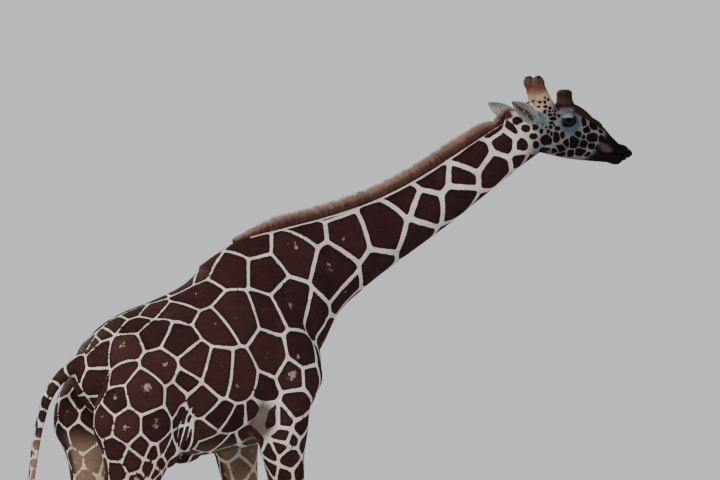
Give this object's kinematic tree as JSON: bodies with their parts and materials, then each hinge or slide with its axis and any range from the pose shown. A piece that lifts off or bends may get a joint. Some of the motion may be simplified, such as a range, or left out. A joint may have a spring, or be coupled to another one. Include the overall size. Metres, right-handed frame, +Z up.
{
  "type": "reticulated giraffe bull",
  "caption": "Life-size giraffe bull standing with its neck stretched forward and up to browse, with paired and middle ossicones, an upright mane and a hanging tufted tail.",
  "frame": {"origin": "middle of the floor under the box around the whole animal", "axes": "+X towards the head, +Y the animal's left side, +Z up"},
  "size_m": [4.2092, 0.755, 4.1646],
  "materials": {
    "coat": "short glossy hair, dark liver-brown patches parted by cream lines",
    "horn": "skin-covered bone with short dark hair, worn bare at the knobs",
    "eye": "wet, very dark brown",
    "tuft": "long coarse black hair",
    "hoof": "dull grey-brown horn with fine growth rings"
  },
  "bodies": {
    "root": {"head": "coat", "ear_right": "coat", "ear_left": "coat", "ossicone_right": "horn", "ossicone_left": "horn", "ossicone_middle": "horn", "eye_right": "eye", "eye_left": "eye", "neck_upper": "coat", "neck_middle": "coat", "neck_lower": "coat", "torso": "coat", "tail_stem": "coat", "tail_tuft": "tuft", "foreleg_right_upper": "coat", "foreleg_right_cannon": "coat", "hoof_foreleg_right_inner": "hoof", "hoof_foreleg_right_outer": "hoof", "hindleg_right_upper": "coat", "hindleg_right_cannon": "coat", "hoof_hindleg_right_inner": "hoof", "hoof_hindleg_right_outer": "hoof", "foreleg_left_upper": "coat", "foreleg_left_cannon": "coat", "hoof_foreleg_left_inner": "hoof", "hoof_foreleg_left_outer": "hoof", "hindleg_left_upper": "coat", "hindleg_left_cannon": "coat", "hoof_hindleg_left_inner": "hoof", "hoof_hindleg_left_outer": "hoof"}
  },
  "joints": []
}
